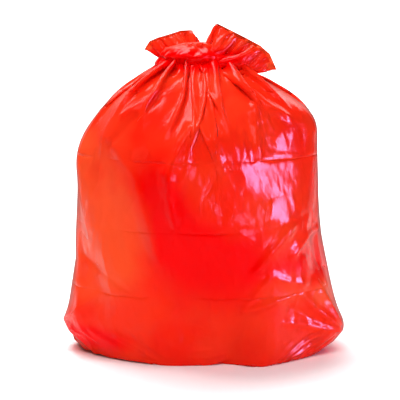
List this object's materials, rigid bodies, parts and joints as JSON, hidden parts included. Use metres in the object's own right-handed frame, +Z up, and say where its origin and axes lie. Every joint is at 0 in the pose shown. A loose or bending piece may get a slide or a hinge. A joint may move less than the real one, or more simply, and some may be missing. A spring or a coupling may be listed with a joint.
{
  "type": "garbage bag",
  "caption": "Filled plastic garbage bag standing on its flat bottom, gathered at the top and tied shut in a knot with ears of film.",
  "frame": {"origin": "on the floor, under the middle of the bag's box", "axes": "+Z up through the knot, -Y to the front face that the picture shows, +X to its right"},
  "size_m": [0.5552, 0.4106, 0.644],
  "materials": {
    "bag_film": "glossy, slightly see-through blown polyethylene film"
  },
  "bodies": {
    "root": {"garbage_bag": "bag_film"}
  },
  "joints": []
}
